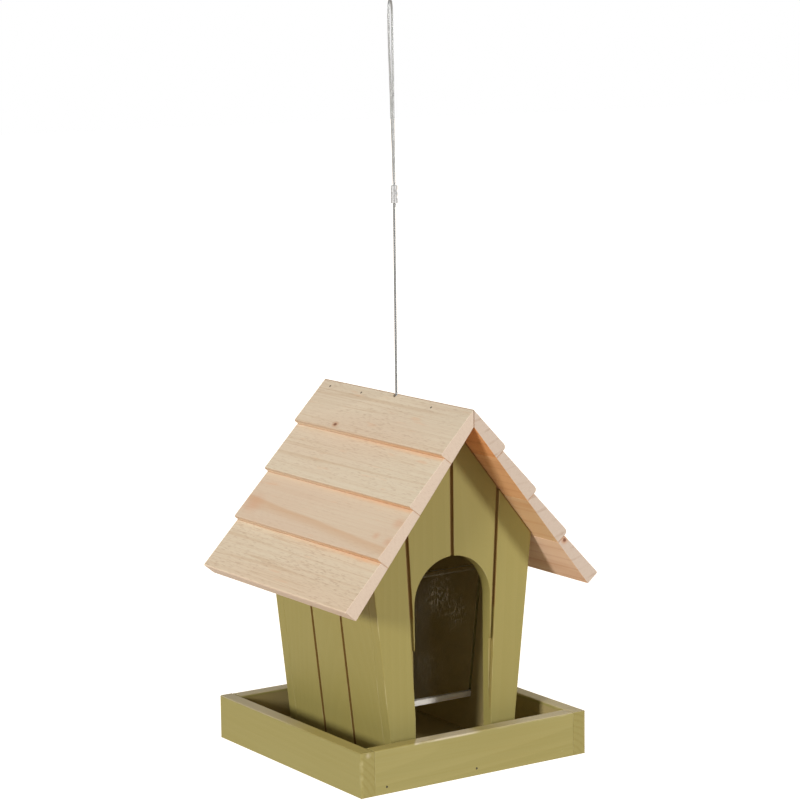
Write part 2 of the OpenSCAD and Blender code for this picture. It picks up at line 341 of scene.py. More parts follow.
route_mesh = bpy.data.meshes.new("wire_route")
route_mesh.from_pydata(wire_line, [(i, i + 1) for i in range(len(wire_line) - 1)], [])
wire = make_real(run_shape(strand_tree(), "steel_wire", route_mesh, Material=wire_finish))
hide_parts("hanging_wire")
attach(wire, "house")
print("wire faces:", len(wire.data.polygons))

# %% [markdown]
# Every board here is softwood, and a photograph of one plank could not cover its faces and its ends
# alike. A tree is a stack of cones, so the pattern is solid: rings about a pith that lies somewhere
# beside the board, cut wherever the board's faces happen to be. Faces, edges and end grain then agree.

# %% Growth rings and fibres
def board_frame(tree, turn, middle):
    """Place in a board: across it, along its grain and through it, from the board's middle."""
    return read(tree, "Object", turn, tuple(-value for value in middle))


def growth_rings(place, pith, slope, spacing, seed):
    """How far into the dark late wood each point lies, from 0 to 1."""
    across, along, through = place.parts()
    sway = place.noise(18, 3, 18, detail=1.0, seed=seed)
    side = across - pith[0] - along * slope[0]
    deep = through - pith[1] - along * slope[1]
    square = side * side + deep * deep
    ring = (square.maths("SQRT") + sway * 0.004) / spacing
    part = ring.maths("FRACT")
    return part.rise(0.3, 0.9) * part.rise(1.0, 0.92)


# %% Bare pine
grain_depth = 0.00008
end_grain = colour(209, 191, 175)


def bare_pine(name, turn, middle, pith, slope=(0.02, 0.05), spacing=0.0032, seed=0.0, tones=None,
              flecks=0.5, contrast=0.12, end_lines=0.08, ends=end_grain, knots=(), marks=None):
    """Planed pine with rings, fibres and short resin flecks, and end grain across the fibres."""
    early, late, flush = tones or (colour(227, 209, 183), colour(207, 176, 141), colour(223, 196, 169))
    material, shader = start_material(name, Specular_IOR_Level=0.3)
    tree = material.node_tree
    place = board_frame(tree, turn, middle)
    late_wood = growth_rings(place, pith, slope, spacing, seed)
    fibre = place.noise(1100, 9, 1100, detail=3.0, seed=seed + 1)
    cloud = place.noise(26, 5, 26, detail=2.0, seed=seed + 2)
    hair = abs(place.noise(150, 2, 150, detail=1.0, seed=seed + 7) - 0.5).rise(0.014, 0.003)
    wood = cloud.rise(0.35, 0.7).toward(early, flush)
    wood = (late_wood * contrast).toward(wood, late)
    wood = (fibre.rise(0.42, 0.75) * 0.3 + hair * 0.4).toward(wood, late)
    dash = place.noise(1700, 170, 1700, detail=2.0, seed=seed + 3)
    where = place.noise(60, 20, 60, detail=2.0, seed=seed + 4)
    mark = dash.rise(0.5, 0.7) * where.rise(0.2, 0.65) * flecks
    wood = mark.toward(wood, colour(172, 136, 106))
    blush = place.noise(260, 36, 260, detail=2.0, seed=seed + 8).rise(0.6, 0.75)
    wood = (blush * 0.3).toward(wood, colour(226, 176, 134))
    facing = read(tree, "Normal", turn).parts()
    end = abs(facing[1]).rise(0.6, 0.85)
    pores = place.noise(1500, 60, 420, detail=2.0, seed=seed + 5)
    cut = (pores.rise(0.4, 0.75) * 0.3).toward(ends, colour(180, 158, 140))
    uneven = place.noise(110, 20, 110, detail=2.0, seed=seed + 9).rise(0.3, 0.7)
    cut = (late_wood.rise(0.78, 1.0) * uneven * end_lines).toward(cut, colour(136, 102, 72))
    wood = (end * 0.9).toward(wood, cut)
    if marks:
        wood = marks(tree, place, facing, end, late_wood, wood)
    for at, size in knots:
        far = place.distance(at, 1, 0.6, 1) + (fibre - 0.5) * size * 0.7
        wood = (far.rise(size * 2.2, size * 0.9) * 0.55).toward(wood, colour(190, 138, 98))
        wood = (far.rise(size * 1.1, size * 0.5) * 0.85).toward(wood, colour(112, 66, 45))
    feed(shader.inputs["Base Color"], wood)
    feed(shader.inputs["Roughness"], 0.74 - late_wood * 0.1 + (fibre - 0.5) * 0.12)
    raise_surface(shader, fibre * 0.5 + late_wood * 0.2 - mark * 0.4, grain_depth, 0.5)
    return material


# %% [markdown]
# The green parts are the same softwood under a satin olive paint. Paint fills the pores but still
# shows the long fibres and the harder rings as faint ridges. The face attribute "edge", set when a
# board's edges are rounded, tells the paint where hands and sandpaper have thinned it.

# %% Olive paint
tray_olive = colour(153, 144, 88)
house_olive = colour(149, 139, 80)
olive_deep = colour(146, 134, 72)
olive_worn = colour(188, 178, 134)
# Painted shade for the saw cuts and the gap under the roof.
cut_shade_brown = colour(136, 108, 58)
# The inner faces' brown, partly painted shade.
inside_brown = colour(166, 149, 102)
# The next two colours are a painted sheen on the rails' top faces.
sheen_top_olive = colour(171, 157, 92)
sheen_top_pale = colour(198, 185, 148)


def olive_paint(name, turn, middle=(0, 0, 0), pith=(0.02, -0.03), seed=0.0, olive=tray_olive,
                groove=None, worn=None, inside=None, sheen_tops=None, streaks=0.12):
    """Satin olive paint on softwood, with wear at the edges, painted shade in the saw cuts between
    planks, and other painted light and shade where asked.
    """
    material, shader = start_material(name, Specular_IOR_Level=0.3)
    tree = material.node_tree
    place = board_frame(tree, turn, middle)
    late_wood = growth_rings(place, pith, (0.03, 0.02), 0.0038, seed)
    fibre = place.noise(900, 10, 900, detail=3.0, seed=seed + 1)
    cloud = place.noise(12, 5, 12, detail=2.0, seed=seed + 2)
    paint = (cloud.rise(0.3, 0.75) * 0.4).toward(olive, olive_deep)
    paint = (fibre.rise(0.4, 0.75) * streaks).toward(paint, olive_deep)
    paint = (late_wood * streaks * 0.5).toward(paint, colour(172, 160, 104))
    end = abs(read(tree, "Normal", turn).parts()[1]).rise(0.6, 0.85)
    thirst = place.noise(500, 60, 500, detail=3.0, seed=seed + 3)
    soak = thirst.rise(0.35, 0.7) * 0.2 + late_wood.rise(0.2, 0.9) * 0.4 + 0.2
    paint = (end * soak).toward(paint, colour(140, 128, 70))
    edge = add(tree, "ShaderNodeAttribute", {"attribute_name": "edge"}, {}, "Fac")
    rub = place.noise(160, 60, 160, detail=4.0, seed=seed + 4)
    thin = edge * rub.rise(0.45, 0.7)
    paint = (thin * 0.5).toward(paint, olive_worn)
    where = read(tree, "Object").parts()
    # Painted sheen: top faces are paler than the sides, palest toward one end, for the backdrop's
    # glancing reflection.
    if sheen_tops:
        top_sheen = (sheen_tops(*where) * (0.8 + rub * 0.3)).toward(sheen_top_olive, sheen_top_pale)
        paint = read(tree, "Normal").parts()[2].rise(0.5, 0.9).toward(paint, top_sheen)
    # Chips in the paint, and the painted highlight on the front rail, take the same pale wood colour.
    if worn:
        bare_and_highlight = worn(where, rub)
        paint = bare_and_highlight.toward(paint, colour(216, 204, 178))
    # Painted shade: a darker brown in the saw cuts and under the roof's edge.
    if groove:
        paint = groove(*where).toward(paint, cut_shade_brown)
    # The inner faces' brown, partly painted shade.
    if inside:
        paint = (inside(*where) * (0.75 + rub * 0.2)).toward(paint, inside_brown)
    feed(shader.inputs["Base Color"], paint)
    feed(shader.inputs["Roughness"], 0.58 + (fibre - 0.5) * 0.12 + thin * 0.15)
    raise_surface(shader, fibre * 0.6 + late_wood * 0.5, grain_depth, 0.4)
    return material


# %% [markdown]
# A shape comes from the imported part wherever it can, so that the two never drift apart: a copy of
# the node's mesh, with its triangles merged back into flat faces and its edges rounded a little.
# Real boards never have sharp corners, and that thin bright line is what makes them look solid.

# %% Round the edges of a board
def round_edges(piece, width, limit="ANGLE", segments=3, mark=True):
    """Bevel a piece's edges, make it a plain mesh, and mark the new faces in the attribute edge."""
    if mark:
        piece.data.materials.append(piece.data.materials[0])
    for face in piece.data.polygons:
        face.use_smooth = True
    bevel = piece.modifiers.new("rounded", "BEVEL")
    bevel.width = width
    bevel.segments = segments
    bevel.limit_method = limit
    bevel.angle_limit = math.radians(30)
    bevel.material = 1 if mark else -1
    bevel.use_clamp_overlap = False
    piece.modifiers.new("flat faces stay flat", "WEIGHTED_NORMAL").keep_sharp = True
    make_real(piece)
    if mark:
        edge = piece.data.attributes.new("edge", "FLOAT", "FACE")
        edge.data.foreach_set("value", [float(face.material_index) for face in piece.data.polygons])
        for face in piece.data.polygons:
            face.material_index = 0
        piece.data.materials.pop(index=1)
    return piece


def settle(piece, body, slot, *nodes):
    """Stand a finished piece in for its nodes, on its body. The slot is not used."""
    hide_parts(*nodes)
    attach(piece, body)
    print(piece.name, len(piece.data.polygons), "faces")
    return piece


def copy_of(node, name, flat_angle=1.0):
    """A copy of a node's mesh with its loose triangles merged into flat faces."""
    shape = bmesh.new()
    shape.from_mesh(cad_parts[node].data)
    bmesh.ops.remove_doubles(shape, verts=shape.verts, dist=0.000005)
    bmesh.ops.dissolve_limit(
        shape, angle_limit=math.radians(flat_angle), verts=shape.verts, edges=shape.edges
    )
    mesh = bpy.data.meshes.new(name)
    shape.to_mesh(mesh)
    shape.free()
    return new_piece(name, mesh)


# %% [markdown]
# The roof follows one rule: four boards a slope, each the next step down, thick at the foot and thin
# at the head, with the first one cut plumb at the ridge. A Geometry Nodes tree holds that rule. It
# sets out a cube for every board, and moves each corner to where the board's number says. The edge
# weights that it stores round the noses first, and a second, finer bevel breaks the square edges.

# %% Sizes of the roof
courses = 4
roof_length = 0.170
slope_length = 0.139
course_width = 0.0374
thin_thickness = 0.0065
butt_thickness = 0.010
nose_radius = 0.0028
board_edge_radius = 0.0004
roof_pitch = math.radians(51.3)
gable_peak = 0.218
roof_gap = 0.0002
roof_peak = gable_peak + roof_gap / math.cos(roof_pitch)
taper = (butt_thickness - thin_thickness) / course_width
wire_hole = 0.004


# %% Marks of the joints on the roof boards
half_course = course_width / 2
glue_brown = colour(150, 112, 82)
# The boards' undersides, from the ridge down: a warm tone, with painted bounce light that deepens it
# toward the ridge.
under_tones_and_bounce = [
    colour(219, 151, 90), colour(216, 162, 110), colour(209, 169, 124), colour(226, 191, 161),
]
under_lines = colour(186, 122, 72)
eave_tone = colour(218, 198, 182)
joint_strength = {-1: 0.2, 1: 0.45}


def step_marks(side, number):
    """What one roof board shows besides its own wood: a warm underside that deepens toward the ridge as
    painted bounce light, its joints' lines, and painted shade under each step.
    """
    def marks(tree, place, facing, end, late_wood, wood):
        across, along, through = place.parts()
        down = across * side
        face = 1 - end
        forward = along.rise(0.06, -0.085)
        under = through.rise(0.0008, 0.0002) * face
        streak = place.noise(90, 5, 90, detail=2.0, seed=number + 80.0).rise(0.5, 0.7)
        wood = (under * 0.9).toward(wood, under_tones_and_bounce[number - 1])
        wood = (under * (streak * 0.35 + late_wood.rise(0.75, 1.0) * 0.22)).toward(wood, under_lines)
        butt = (facing[0] * side).rise(0.5, 0.9) * face
        if number == courses:
            wood = (butt * 0.8).toward(wood, eave_tone)
        else:
            # Painted shade: the butt under each step, more orange toward the front.
            butt_shade = forward.toward(colour(224, 201, 174), colour(223, 179, 137))
            wood = (butt * 0.85).toward(wood, butt_shade)
            nose = down.rise(half_course - 0.0009, half_course - 0.0004) * through.rise(0.0086, 0.0092)
            wood = (nose * face * 0.5).toward(wood, glue_brown)
        if number > 1:
            # The joint's line, and a painted shadow: an orange band under the step above, stronger toward
            # the front.
            line = down.rise(0.0006 - half_course, 0.0003 - half_course) * face * (1 - under)
            step_shadow = down.rise(0.0034 - half_course, 0.0014 - half_course) * face * (1 - under)
            wood = (step_shadow * forward * 0.4).toward(wood, colour(222, 172, 124))
            wood = (line * 0.45).toward(wood, colour(186, 132, 98))
        joint = abs(down).rise(half_course - 0.0006, half_course - 0.0002)
        wood = (joint * end * joint_strength[side]).toward(wood, glue_brown)
        if number == 1:
            ridge = abs(read(tree, "Object").parts()[0]).rise(0.0005, 0.0002)
            wood = (ridge * 0.7).toward(wood, glue_brown)
        return wood
    return marks


flushed_spots = (
    (-0.004, -0.068, 0.004), (-0.006, -0.083, 0.005), (0.008, -0.081, 0.006), (-0.006, 0.074, 0.011),
)


def cathedral(side, number):
    """The marks of a board cut near the tree's skin: one long soft band and a few flushed spots."""
    def marks(tree, place, facing, end, late_wood, wood):
        across, along, through = place.parts()
        drift = place.noise(14, 9, 14, detail=2.0, seed=95.0) - 0.5
        band = across + 0.0051 - along * 0.055 + drift * 0.006
        face = 1 - end
        soft = band.rise(0.0012, -0.0006) * band.rise(-0.0075, -0.0008)
        wood = (soft * face * 0.5).toward(wood, colour(208, 166, 126))
        for x, y, size in flushed_spots:
            far = place.distance((x, y, 0.0085), 1, 0.7, 1) + drift * 0.006
            wood = (far.rise(size, 0.0) * face * 0.45).toward(wood, colour(212, 158, 120))
        return step_marks(side, number)(tree, place, facing, end, late_wood, wood)
    return marks


# %% Pine for the roof boards
def course_pine(side, number, marks=step_marks, **look):
    """Pine for one roof board, from its own middle, with the grain along the ridge."""
    foot = slope_length - (courses - number) * course_width
    across = side * (foot - half_course - roof_peak * math.sin(roof_pitch))
    middle = (across, 0, roof_peak * math.cos(roof_pitch))
    turn = (0, -side * math.degrees(roof_pitch), 0)
    name = f"{'left' if side < 0 else 'right'}_pine_{number}"
    return bare_pine(name, turn, middle, marks=marks(side, number), **look)


cream = (colour(227, 213, 189), colour(206, 181, 150), colour(225, 205, 181))
warm = (colour(227, 212, 187), colour(204, 175, 142), colour(226, 205, 179))
rose = (colour(225, 208, 183), colour(213, 184, 155), colour(222, 200, 176))
grey_ends = colour(197, 181, 168)
left_pine = [
    course_pine(-1, 1, pith=(0.060, -0.050), slope=(0.01, 0.01), seed=11, tones=cream, flecks=0.38,
                knots=[((-0.01464, 0.03874, 0.0096), 0.0013)]),
    course_pine(-1, 2, pith=(-0.070, -0.060), slope=(0.015, 0.01), seed=12, tones=cream, flecks=0.42),
    course_pine(-1, 3, cathedral, pith=(0.060, -0.070), slope=(0.01, 0.01), spacing=0.006, seed=13,
                tones=rose, flecks=0.18),
    course_pine(-1, 4, pith=(0.080, -0.060), slope=(0.01, 0.02), seed=14, tones=warm, flecks=0.48),
]
right_pine = [
    course_pine(1, 1, pith=(-0.036, 0.020), slope=(0.01, 0.01), spacing=0.0085, seed=21, tones=cream,
                ends=grey_ends, end_lines=0.5),
    course_pine(1, 2, pith=(0.050, -0.024), slope=(0.01, 0.01), spacing=0.006, seed=22, tones=cream,
                ends=grey_ends, end_lines=0.15),
    course_pine(1, 3, pith=(-0.050, 0.024), slope=(0.02, 0.01), spacing=0.0105, seed=23, tones=cream,
                ends=grey_ends, end_lines=0.4),
    course_pine(1, 4, pith=(-0.040, 0.022), slope=(0.03, 0.02), spacing=0.008, seed=24, tones=rose,
                ends=grey_ends, end_lines=0.3, knots=[((-0.0165, -0.0845, 0.0045), 0.0016)]),
]

# %% The tree of the stepped slope
def slope_tree():
    """Boards that step down one slope. Side is 1 for the right slope and -1 for the left one."""
    tree, size = start_shape(
        "Stepped slope", Boards=courses, Side=1.0, Length=roof_length, Slope=slope_length,
        Board_width=course_width, Butt=butt_thickness, Taper=taper, Pitch=roof_pitch, Peak=roof_peak,
        Wire_hole=wire_hole, Nose=1.0, Eave=0.4, Pine_1="", Pine_2="", Pine_3="", Pine_4="",
    )
    start = size["Geometry"]
    numbers = start.node("GeometryNodeMeshLine", {}, {"Count": size["Boards"]})
    cube = start.node("GeometryNodeMeshCube", {}, {"Size": (1, 1, 1)})
    spot = start.node("GeometryNodeInputPosition", {}, {})
    store = "GeometryNodeStoreNamedAttribute"
    named = "GeometryNodeInputNamedAttribute"
    vector = {"data_type": "FLOAT_VECTOR"}
    cube = start.node(store, vector, {"Geometry": cube, "Name": "corner", "Value": spot})
    boards = start.node("GeometryNodeInstanceOnPoints", {}, {"Points": numbers, "Instance": cube})
    index = start.node("GeometryNodeInputIndex", {}, {})
    on_boards = {"data_type": "FLOAT", "domain": "INSTANCE"}
    boards = start.node(store, on_boards, {"Geometry": boards, "Name": "course", "Value": index})
    boards = start.node("GeometryNodeRealizeInstances", {}, {0: boards})
    corner = start.node(named, vector, {"Name": "corner"})
    course = start.node(named, {"data_type": "FLOAT"}, {"Name": "course"})
    down, beside, up = [part + 0.5 for part in corner.parts()]
    foot = size["Slope"] - (size["Boards"] - 1 - course) * size["Board width"]
    head = (foot - size["Board width"]).maths("MAXIMUM", 0.0)
    tangent = size["Pitch"].maths("TANGENT")
    plumb = (size["Butt"] - foot * size["Taper"]) / (size["Taper"] * tangent + 1) * tangent
    first = 1 - course.maths("MINIMUM", 1.0)
    along = head + down * (foot - head) - plumb * first * up * (1 - down)
    proud = up * (size["Butt"] - (foot - along) * size["Taper"])
    sine = size["Pitch"].maths("SINE")
    cosine = size["Pitch"].maths("COSINE")
    place = start.node("ShaderNodeCombineXYZ", {}, {
        0: size["Side"] * (along * cosine + proud * sine),
        1: size["Side"] * (beside - 0.5) * size["Length"],
        2: size["Peak"] - along * sine + proud * cosine,
    })
    boards = start.node("GeometryNodeSetPosition", {}, {"Geometry": boards, "Position": place})
    is_top = course.node("FunctionNodeCompare", {"operation": "LESS_THAN"}, {0: course, 1: 0.5})
    top = start.node("GeometryNodeSeparateGeometry", {"domain": "FACE"}, {0: boards, 1: is_top})
    rest = Value(top.socket.node.outputs[1])
    drill = start.node(
        "GeometryNodeMeshCylinder", {}, {"Vertices": 32, "Radius": size["Wire hole"] / 2, "Depth": 0.06}
    )
    lift = start.node("ShaderNodeCombineXYZ", {}, {2: size["Peak"]})
    drill = start.node("GeometryNodeTransform", {}, {"Geometry": drill, "Translation": lift})
    cut = {"Mesh 1": top, "Mesh 2": drill}
    bored = start.node("GeometryNodeMeshBoolean", {"operation": "DIFFERENCE"}, cut)
    boards = start.node("GeometryNodeJoinGeometry", {}, {0: rest})
    feed(boards.socket.node.inputs[0], bored)
    last = (course / (size["Boards"] - 1)).rise(0.9, 1.0)
    weight = (down * up).rise(0.97, 0.99) * (size["Nose"] + last * (size["Eave"] - size["Nose"]))
    on_edges = {"data_type": "FLOAT", "domain": "EDGE"}
    weighed = {"Geometry": boards, "Name": "bevel_weight_edge", "Value": weight}
    boards = start.node(store, on_edges, weighed)
    for number in range(courses):
        bounds = {0: course, 1: number - 0.5}
        from_here = course.node("FunctionNodeCompare", {"operation": "GREATER_THAN"}, bounds)
        finish = {"Geometry": boards, "Selection": from_here, "Material": size[f"Pine {number + 1}"]}
        boards = start.node("GeometryNodeSetMaterial", {}, finish)
    output = tree.nodes.new("NodeGroupOutput")
    feed(output.inputs[0], boards)
    return tree


stepped_slope = slope_tree()

# %% Both slopes of the roof
def weigh_corners(piece, sharp=math.radians(40), rim=0.0023):
    """Give every square edge full bevel weight, but none to the rim of the wire's hole."""
    shape = bmesh.new()
    shape.from_mesh(piece.data)
    weight = shape.edges.layers.float["bevel_weight_edge"]
    for edge in shape.edges:
        away = min(math.hypot(corner.co.x, corner.co.y) for corner in edge.verts)
        edge[weight] = float(away > rim and edge.calc_face_angle(0.0) > sharp)
    shape.to_mesh(piece.data)
    shape.free()


for side, word, pines in ((-1.0, "left", left_pine), (1.0, "right", right_pine)):
    finishes = {f"Pine_{number}": pine for number, pine in enumerate(pines, 1)}
    start = bpy.data.meshes.new(f"{word}_slope")
    rounding = 0.4 if side < 0 else 1.0
    slope = run_shape(stepped_slope, f"{word}_slope", start, Side=side, Nose=rounding, **finishes)
    make_real(slope)
    round_edges(slope, nose_radius, limit="WEIGHT", segments=4, mark=False)
    weigh_corners(slope)
    round_edges(slope, board_edge_radius, limit="WEIGHT", segments=2, mark=False)
    settle(slope, "roof", "bare_pine", *[f"{word}_course_{number}" for number in range(1, courses + 1)])

# %% [markdown]
# The tray is four rails round a floor board. The side rails run the full length, so their end grain
# shows at the corners. The tray's corners and the rails' top edges are sanded rounder than the rest,
# which a bevel weight says: one Bevel modifier then gives every edge its own radius.

# %% Boards of the tray
rail_edge_radius = 0.0017
rail_half = 0.085


def box_board(name, node, finish, soft_edges=()):
    """A board that fills a node's box. The top edges along soft_edges are rounded most."""
    low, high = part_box(node)
    shape = bmesh.new()
    bmesh.ops.create_cube(shape, size=1.0)
    for corner in shape.verts:
        corner.co = [(a + b) / 2 + c * (b - a) for a, b, c in zip(low, high, corner.co)]
    weight = shape.edges.layers.float.new("bevel_weight_edge")
    for edge in shape.edges:
        a, b = [corner.co for corner in edge.verts]
        way = max(range(3), key=lambda axis: abs((b - a)[axis]))
        at_top = "XYZ"[way] in soft_edges and min(a.z, b.z) > high.z - 0.0001
        at_corner = way == 2 and min(abs(a.x), abs(a.y)) > rail_half - 0.0001
        edge[weight] = 1.0 if at_corner else 0.7 if at_top else 0.15
    mesh = bpy.data.meshes.new(name)
    shape.to_mesh(mesh)
    shape.free()
    mesh.materials.append(finish)
    return new_piece(name, mesh)


# Painted highlight on the front rail's top, in front of the arch: where it starts and where it fades.
arch_highlight_span = (-0.047, -0.004)


def arch_highlight(where, rub):
    """Painted highlight: a pale patch on the top of the front rail, in front of the arch."""
    x, y, z = where
    left = x - (y + rail_half) * 0.8
    reach = left.rise(arch_highlight_span[0], arch_highlight_span[0] + 0.002) * x.rise(arch_highlight_span[1] + 0.010, arch_highlight_span[1])
    return reach * z.rise(0.0266, 0.0276) * rub.rise(0.25, 0.5) * 0.8


def corner_chip(where, rub):
    """A chip in the paint at the front end of the left rail, near its top."""
    x, y, z = where
    far = (x + 0.0795) * (x + 0.0795) + (z - 0.0262) * (z - 0.0262)
    chip = far.maths("SQRT").rise(0.0026, 0.0) * y.rise(0.001 - rail_half, -rail_half)
    return chip * rub.rise(0.35, 0.6) * 0.5


def tray_shade(x, y, z):
    """Painted shade: a brown tone on the tray's inner faces, below their rounded top edges, for the warm
    brown they take in shade.
    """
    inner = abs(x).maths("MAXIMUM", abs(y)).rise(rail_half - 0.0095, rail_half - 0.0099)
    return inner * z.rise(0.0270, 0.0255)


def rail_paint(node, turn, middle, pith, seed, sheen_tops, **look):
    """Paint for one rail, with a painted sheen on its top face that is palest where the top mask is 1."""
    name = f"{node}_paint"
    return olive_paint(name, turn, middle, pith, seed=seed, inside=tray_shade, sheen_tops=sheen_tops, **look)


along_ridge = (0, 0, 0)
across_front = (0, 0, 90)
# Each lambda says where its rail's painted sheen on top is palest.
rails = {
    "left_rail": rail_paint("left_rail", along_ridge, (-0.08, 0, 0.014), (-0.028, -0.026), 31,
                            lambda x, y, z: y.rise(-0.03, 0.03), worn=corner_chip),
    "right_rail": rail_paint("right_rail", along_ridge, (0.08, 0, 0.014), (-0.01, -0.02), 32,
                             lambda x, y, z: y.rise(0.12, -0.12)),
    "front_rail": rail_paint("front_rail", across_front, (0.08, 0, 0.014), (0.03, 0.01), 33,
                             lambda x, y, z: x.rise(0.0, 0.04) * 0.85 + x.rise(-0.05, -0.02) * 0.15,
                             worn=arch_highlight, streaks=0.35),
    "rear_rail": rail_paint("rear_rail", across_front, (-0.08, 0, 0.014), (0.02, 0.02), 34,
                            lambda x, y, z: x.rise(0.04, -0.06)),
}
for node, finish in rails.items():
    soft = "Y" if node in ("left_rail", "right_rail") else "X"
    board = box_board(node.replace("rail", "tray_rail"), node, finish, soft_edges=soft)
    round_edges(board, rail_edge_radius, limit="WEIGHT")
    settle(board, "house", "olive_paint", node)

# The floor's top takes the inner faces' brown, partly painted shade.
floor_paint = olive_paint("floor_paint", (0, 0, 0), (0, 0, 0.0045), (0.01, -0.05), seed=35,
                          inside=lambda x, y, z: z.rise(0.0085, 0.0089))
floor = box_board("tray_floor", "floor_board", floor_paint)
round_edges(floor, rail_edge_radius, limit="WEIGHT")
settle(floor, "house", "olive_paint", "floor_board")

# %% [markdown]
# The house looks planked, but each wall is one board with narrow saw cuts. The paint shows them as
# a darker brown, which is painted shade for the shadow down in a cut. The cuts are real in the mesh,
# and the paint finds them again by the same sums that the part's source cuts them with.

# %% Where the saw cuts are
floor_top = 0.009
foot_half = 0.0455
house_half = 0.0605
gable_thickness = 0.0085
wall_lean = math.radians(6.5)
mid_plank = 0.0258
cut_half = 0.0013
cut_depth = 0.0021
skin = 0.00012


def gable_cuts(x, y, z):
    """1 in the three cuts of a gable: one up the middle, and two that lean half as much as the walls.
    Along the top edge under the roof it is 0.9, a painted shadow of the gap.
    """
    lean = math.tan(wall_lean / 2)
    outer = abs(abs(x) - mid_plank - (z - floor_top) * lean)
    near = abs(x).maths("MINIMUM", outer).rise(cut_half + skin, cut_half)
    deep = house_half - abs(y)
    # Painted shade: the brown is full where the cut is full and weaker lower down, where it opens.
    full_cut_shade = z.rise(0.095, 0.101) * 0.7 + 0.3
    cut = near * deep.rise(skin, 2 * skin) * deep.rise(cut_depth + skin, cut_depth) * full_cut_shade
    # Painted shadow: a dark line along the top edge, for the gap under the roof.
    under_roof = z * math.cos(roof_pitch) + abs(x) * math.sin(roof_pitch)
    top = gable_peak * math.cos(roof_pitch)
    gap_shadow = under_roof.rise(top - 0.0012, top - 0.0006)
    return cut.maths("MAXIMUM", gap_shadow * 0.9)


def wall_cuts(x, y, z):
    """1 in the two cuts of a side wall, a third of its length apart."""
    third = (2 * house_half - 2 * gable_thickness) / 3
    near = abs(abs(y) - third / 2).rise(cut_half + skin, cut_half)
    deep = (foot_half + (z - floor_top) * math.tan(wall_lean) - abs(x)) * math.cos(wall_lean)
    return near * deep.rise(skin, 2 * skin) * deep.rise(cut_depth + skin, cut_depth)


def room(x, y, z):
    """1 on the faces that look into the house. Their brown is partly a stain and partly painted shade."""
    inner = foot_half + (z - floor_top) * math.tan(wall_lean) - gable_thickness / math.cos(wall_lean)
    beside = (abs(x) - inner).rise(0.0004, 0.0002)
    between = house_half - gable_thickness
    return beside * abs(y).rise(between + 0.0004, between + 0.0002)


# %% Gables and walls
upright = (-90, 0, 0)
house_boards = (
    ("front_gable", (0, 0, 0.056), (0.015, -0.06), gable_cuts, 41),
    ("rear_gable", (0, 0, -0.056), (0.02, 0.05), gable_cuts, 42),
    ("left_wall", (-0.054, 0, 0), (0.05, 0.015), wall_cuts, 43),
    ("right_wall", (0.054, 0, 0), (-0.05, 0.02), wall_cuts, 44),
)
for node, middle, pith, cuts, seed in house_boards:
    finish = olive_paint(
        f"{node}_paint", upright, middle, pith, seed=seed, olive=house_olive, groove=cuts, inside=room
    )
    board = copy_of(node, f"{node}_board")
    board.data.materials.append(finish)
    round_edges(board, 0.0004)
    settle(board, "house", "olive_paint", node)

# %% [markdown]
# The pane is clear acrylic, handled and a little dusty. Real glass would need light traced through
# it, which is slow and noisy in a dark house. A nearly clear Alpha does the same job: what shows are
# the smudges, the fine scratches and the bright sawn edge, and those have an alpha of their own.

# %% Clear acrylic
pane_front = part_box("seed_pane")[0][1]
pane_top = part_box("seed_pane")[1][2]
finger_marks = (
    ((0.0145, 0.103), 0.012, 0.4), ((0.021, 0.099), 0.013, 0.3), ((0.032, 0.088), 0.009, 0.45),
    ((0.027, 0.083), 0.008, 0.25), ((0.016, 0.049), 0.018, 0.06), ((0.006, 0.056), 0.011, 0.05),
)


def clear_acrylic():
    """A clear sheet with smudges, scratches and pale sawn edges."""
    material, shader = start_material("clear_acrylic", IOR=1.3)
    tree = material.node_tree
    place = read(tree, "Object")
    smear = place.noise(60, 60, 35, detail=4.0, seed=51)
    haze = smear.rise(0.5, 0.85)
    hair = place.noise(600, 600, 140, detail=3.0, seed=52)
    scratch = abs(hair - 0.5).rise(0.02, 0.005) * smear.rise(0.5, 0.62)
    wiped = place.noise(650, 650, 330, detail=5.0, seed=53).rise(0.46, 0.72)
    marks = 0.0
    for (x, z), reach, strength in finger_marks:
        far = place.distance((x, pane_front, z), 1, 0, 0.6)
        marks = far.rise(reach, 0.0) * wiped * strength + marks
    flat = abs(read(tree, "Normal").parts()[1])
    sawn = flat.rise(0.9, 0.6)
    z = place.parts()[2]
    bevel_line = abs(z - pane_top + 0.003).rise(0.0006, 0.0002)
    glance = add(tree, "ShaderNodeLayerWeight", {}, {"Blend": 0.25}, "Fresnel")
    clear = 0.007 + haze * 0.006 + scratch * 0.04 + wiped * 0.01
    clear = clear + marks * 0.9 + bevel_line * 0.2 + glance * 0.02
    feed(shader.inputs["Alpha"], clear + sawn * 0.5)
    feed(shader.inputs["Base Color"], sawn.toward(colour(208, 204, 190), colour(224, 224, 214)))
    feed(shader.inputs["Roughness"], 0.12 + haze * 0.3 + sawn * 0.4)
    return material


pane = copy_of("seed_pane", "clear_pane")
pane.data.materials.append(clear_acrylic())
round_edges(pane, 0.00015, segments=2, mark=False)
settle(pane, "pane", "clear_acrylic", "seed_pane")

